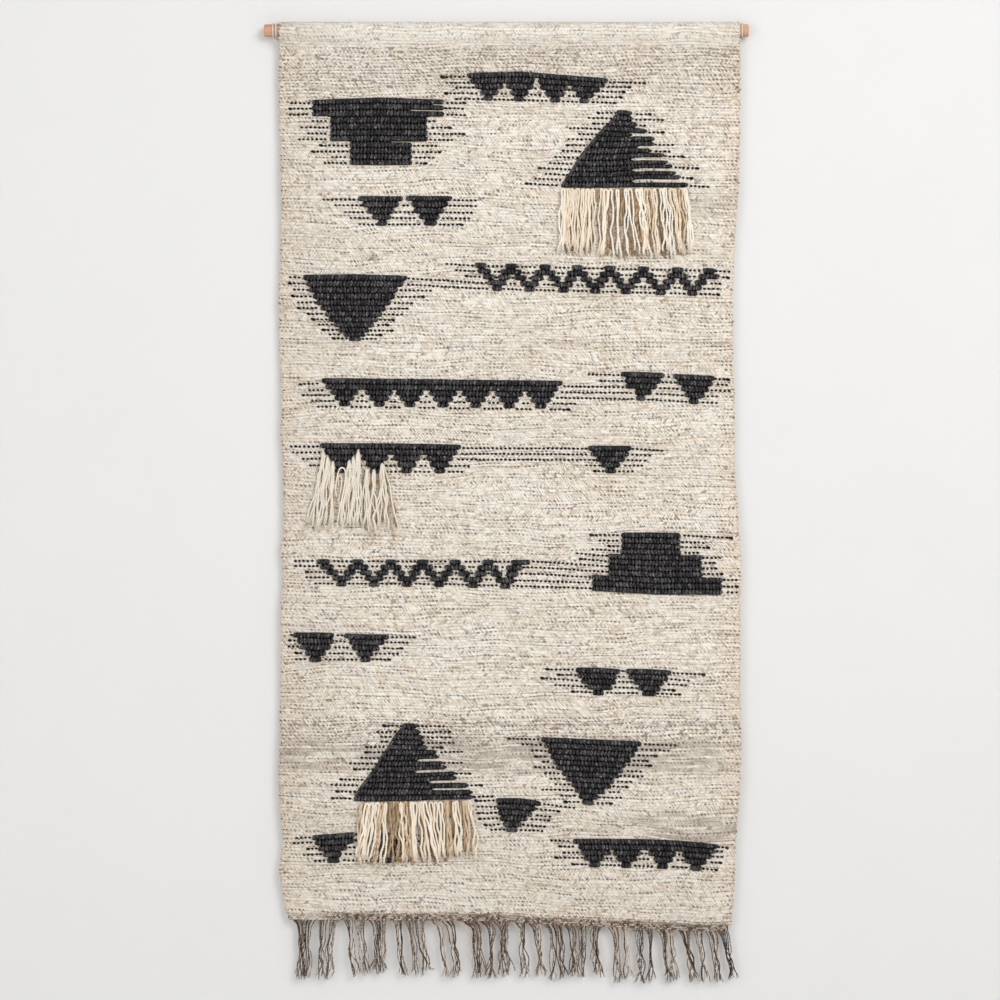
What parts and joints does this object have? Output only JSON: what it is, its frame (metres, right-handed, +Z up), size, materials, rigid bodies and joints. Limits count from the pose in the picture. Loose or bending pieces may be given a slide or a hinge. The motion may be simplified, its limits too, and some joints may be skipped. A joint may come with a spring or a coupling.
{
  "type": "tapestry wall hanging",
  "caption": "Hand-woven cream wall hanging with charcoal wool motifs, loose cream fringes and a tasselled lower edge, hung from a plain wooden dowel with a cotton cord.",
  "frame": {"origin": "middle of the wooden dowel's axis, where the hanging is held", "axes": "+Z up, +X along the dowel to the viewer's right, -Y out of the cloth's face, +Y towards the wall"},
  "size_m": [0.775, 0.0282, 1.536],
  "materials": {
    "wood": "bare, sanded",
    "cloth": "hand-woven, nubbly, matte",
    "dark_wool": "thick wrapped wool, matte",
    "cream_yarn": "loose twisted yarn, matte",
    "warp_ends": "thin twisted yarn, matte",
    "cord": "twisted cotton, matte"
  },
  "bodies": {
    "pocket": {"rod_pocket": "cloth", "pocket_stitching": "cord", "hanging_cord": "cord", "cord_hitch_left": "cord", "cord_hitch_right": "cord"},
    "rod": {"dowel_rod": "wood"},
    "cloth_top": {"cloth_upper": "cloth", "motif_stepped_upper": "dark_wool", "motif_bunting_upper": "dark_wool", "motif_big_triangle_upper": "dark_wool", "motif_pair_upper_left": "dark_wool", "motif_pair_upper_right": "dark_wool", "motif_inverted_triangle_upper": "dark_wool", "motif_zigzag_upper": "dark_wool", "motif_bunting_wide": "dark_wool", "motif_pair_mid_left": "dark_wool", "motif_pair_mid_right": "dark_wool", "motif_bunting_mid": "dark_wool", "motif_small_triangle_mid": "dark_wool", "motif_zigzag_lower": "dark_wool", "motif_stepped_lower": "dark_wool"},
    "cloth_foot": {"cloth_lower": "cloth", "twined_edge_band": "warp_ends", "motif_pair_low_left_a": "dark_wool", "motif_pair_low_left_b": "dark_wool", "motif_pair_low_right_a": "dark_wool", "motif_pair_low_right_b": "dark_wool", "motif_big_triangle_lower": "dark_wool", "motif_inverted_triangle_lower": "dark_wool", "motif_small_triangle_lower": "dark_wool", "motif_pair_bottom_a": "dark_wool", "motif_pair_bottom_b": "dark_wool", "motif_bunting_lower": "dark_wool"},
    "fringe_upper": {"cream_fringe_upper": "cream_yarn"},
    "fringe_mid": {"cream_fringe_mid": "cream_yarn"},
    "fringe_lower": {"cream_fringe_lower": "cream_yarn"},
    "bottom_tassels": {"tassel_01": "warp_ends", "tassel_02": "warp_ends", "tassel_03": "warp_ends", "tassel_04": "warp_ends", "tassel_05": "warp_ends", "tassel_06": "warp_ends", "tassel_07": "warp_ends", "tassel_08": "warp_ends", "tassel_09": "warp_ends", "tassel_10": "warp_ends", "tassel_11": "warp_ends", "tassel_12": "warp_ends", "tassel_13": "warp_ends", "tassel_14": "warp_ends", "tassel_15": "warp_ends", "tassel_16": "warp_ends", "tassel_17": "warp_ends", "tassel_18": "warp_ends", "tassel_19": "warp_ends", "tassel_20": "warp_ends", "tassel_21": "warp_ends", "tassel_22": "warp_ends"}
  },
  "joints": [
    {"name": "rod_slide", "type": "slide", "parent": "pocket", "child": "rod", "axis": [1, 0, 0], "range_m": [-0.78, 0.78]},
    {"name": "cloth_swing", "type": "hinge", "parent": "pocket", "child": "cloth_top", "pos_m": [0, 0, 0], "axis": [-1, 0, 0], "range_deg": [0, 80]},
    {"name": "cloth_fold", "type": "hinge", "parent": "cloth_top", "child": "cloth_foot", "pos_m": [0, -0.0024, -0.934], "axis": [-1, 0, 0], "range_deg": [0, 135]},
    {"name": "fringe_upper_lift", "type": "hinge", "parent": "cloth_top", "child": "fringe_upper", "pos_m": [0.1875, -0.0086, -0.2547], "axis": [-1, 0, 0], "range_deg": [0, 85]},
    {"name": "fringe_mid_lift", "type": "hinge", "parent": "cloth_top", "child": "fringe_mid", "pos_m": [-0.2398, -0.0086, -0.6805], "axis": [-1, 0, 0], "range_deg": [0, 85]},
    {"name": "fringe_lower_lift", "type": "hinge", "parent": "cloth_foot", "child": "fringe_lower", "pos_m": [-0.1449, -0.0086, -1.2355], "axis": [-1, 0, 0], "range_deg": [0, 85]},
    {"name": "tassels_lift", "type": "hinge", "parent": "cloth_foot", "child": "bottom_tassels", "pos_m": [0.0028, -0.0015, -1.4322], "axis": [-0.9997, 0, 0.025], "range_deg": [-5, 85]}
  ]
}
